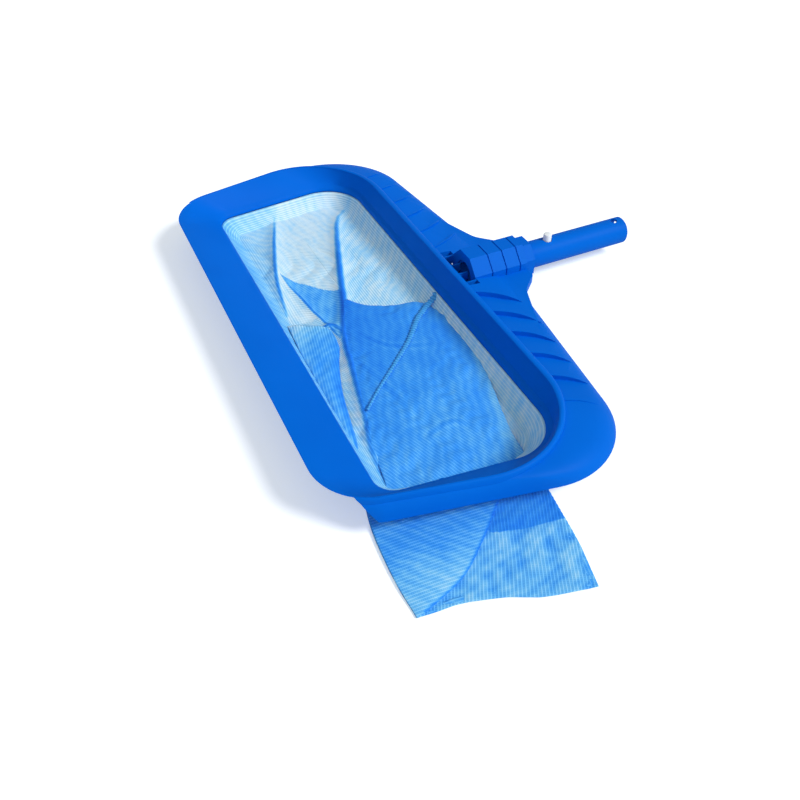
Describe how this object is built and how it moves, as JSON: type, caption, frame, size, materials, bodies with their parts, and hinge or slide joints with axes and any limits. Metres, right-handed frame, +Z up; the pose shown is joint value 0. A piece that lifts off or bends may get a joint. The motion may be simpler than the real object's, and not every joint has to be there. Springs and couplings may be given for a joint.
{
  "type": "leaf skimmer net",
  "caption": "Pool leaf rake: a rounded scoop frame with a soft mesh bag clamped under it and a round handle with snap button for a pole.",
  "frame": {"origin": "on the handle's axis at the shoulder where a pole butts against the handle", "axes": "+Y out along the handle and the pole, +Z up out of the scoop, +X towards the end of the frame where the bag lies out"},
  "size_m": [0.6257, 0.43, 0.0494],
  "materials": {
    "frame_plastic": "moulded, satin",
    "clamp_plastic": "moulded, satin",
    "handle_plastic": "moulded, satin",
    "clip_plastic": "moulded",
    "net_mesh": "fine open mesh",
    "seam_thread": "sewn",
    "screw_steel": "stainless"
  },
  "bodies": {
    "scoop": {"frame": "frame_plastic", "net_clamp_front": "clamp_plastic", "net_clamp_back": "clamp_plastic", "net_clamp_left": "clamp_plastic", "net_clamp_right": "clamp_plastic", "clamp_screws": "screw_steel", "handle_tube": "handle_plastic", "handle_screws": "screw_steel", "spring_clip": "clip_plastic", "net_bag": "net_mesh", "bag_end_hem": "seam_thread", "bag_edge_seam": "seam_thread", "bag_seam": "seam_thread"},
    "button": {"snap_button": "clip_plastic"}
  },
  "joints": [
    {"name": "button_press", "type": "hinge", "parent": "scoop", "child": "button", "pos_m": [0, 0.098, 0.0096], "axis": [1, 0, 0], "range_deg": [0, 5.2], "stiffness_Nm_per_rad": 4}
  ]
}
